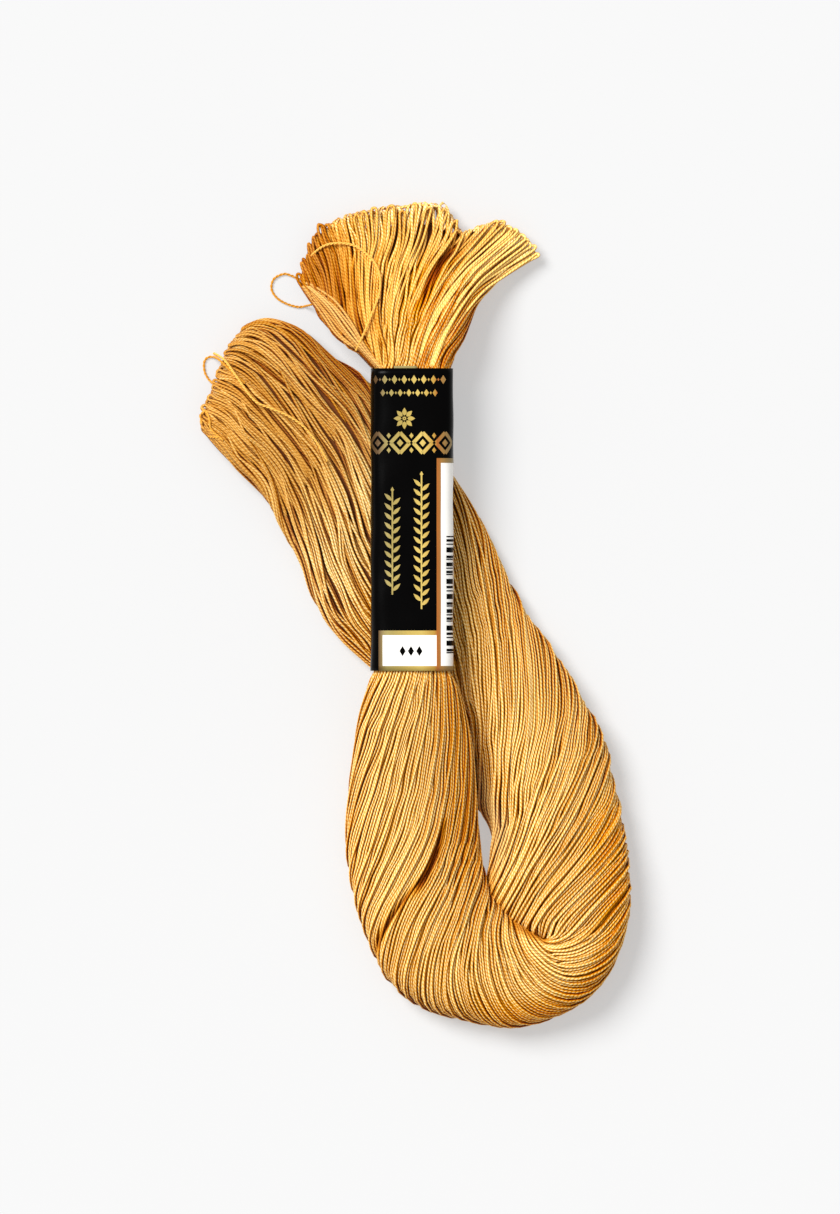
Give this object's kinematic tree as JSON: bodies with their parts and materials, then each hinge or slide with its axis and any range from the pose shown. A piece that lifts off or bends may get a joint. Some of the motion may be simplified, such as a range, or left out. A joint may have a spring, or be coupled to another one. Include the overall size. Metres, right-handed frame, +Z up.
{
  "type": "embroidery thread skein",
  "caption": "Folded hank of twisted pearl cotton embroidery thread held by a flattened paper band, with both looped ends fanned out.",
  "frame": {"origin": "on the table, under the middle of the skein's outline", "axes": "+Z up from the table, +Y along the banded leg from the fold towards the fanned end, +X from the free end's side towards the fold's right leg"},
  "size_m": [0.1136, 0.2188, 0.0202],
  "materials": {
    "thread": "satin",
    "band": "gloss"
  },
  "bodies": {
    "root": {"hank": "thread", "band": "band"}
  },
  "joints": []
}
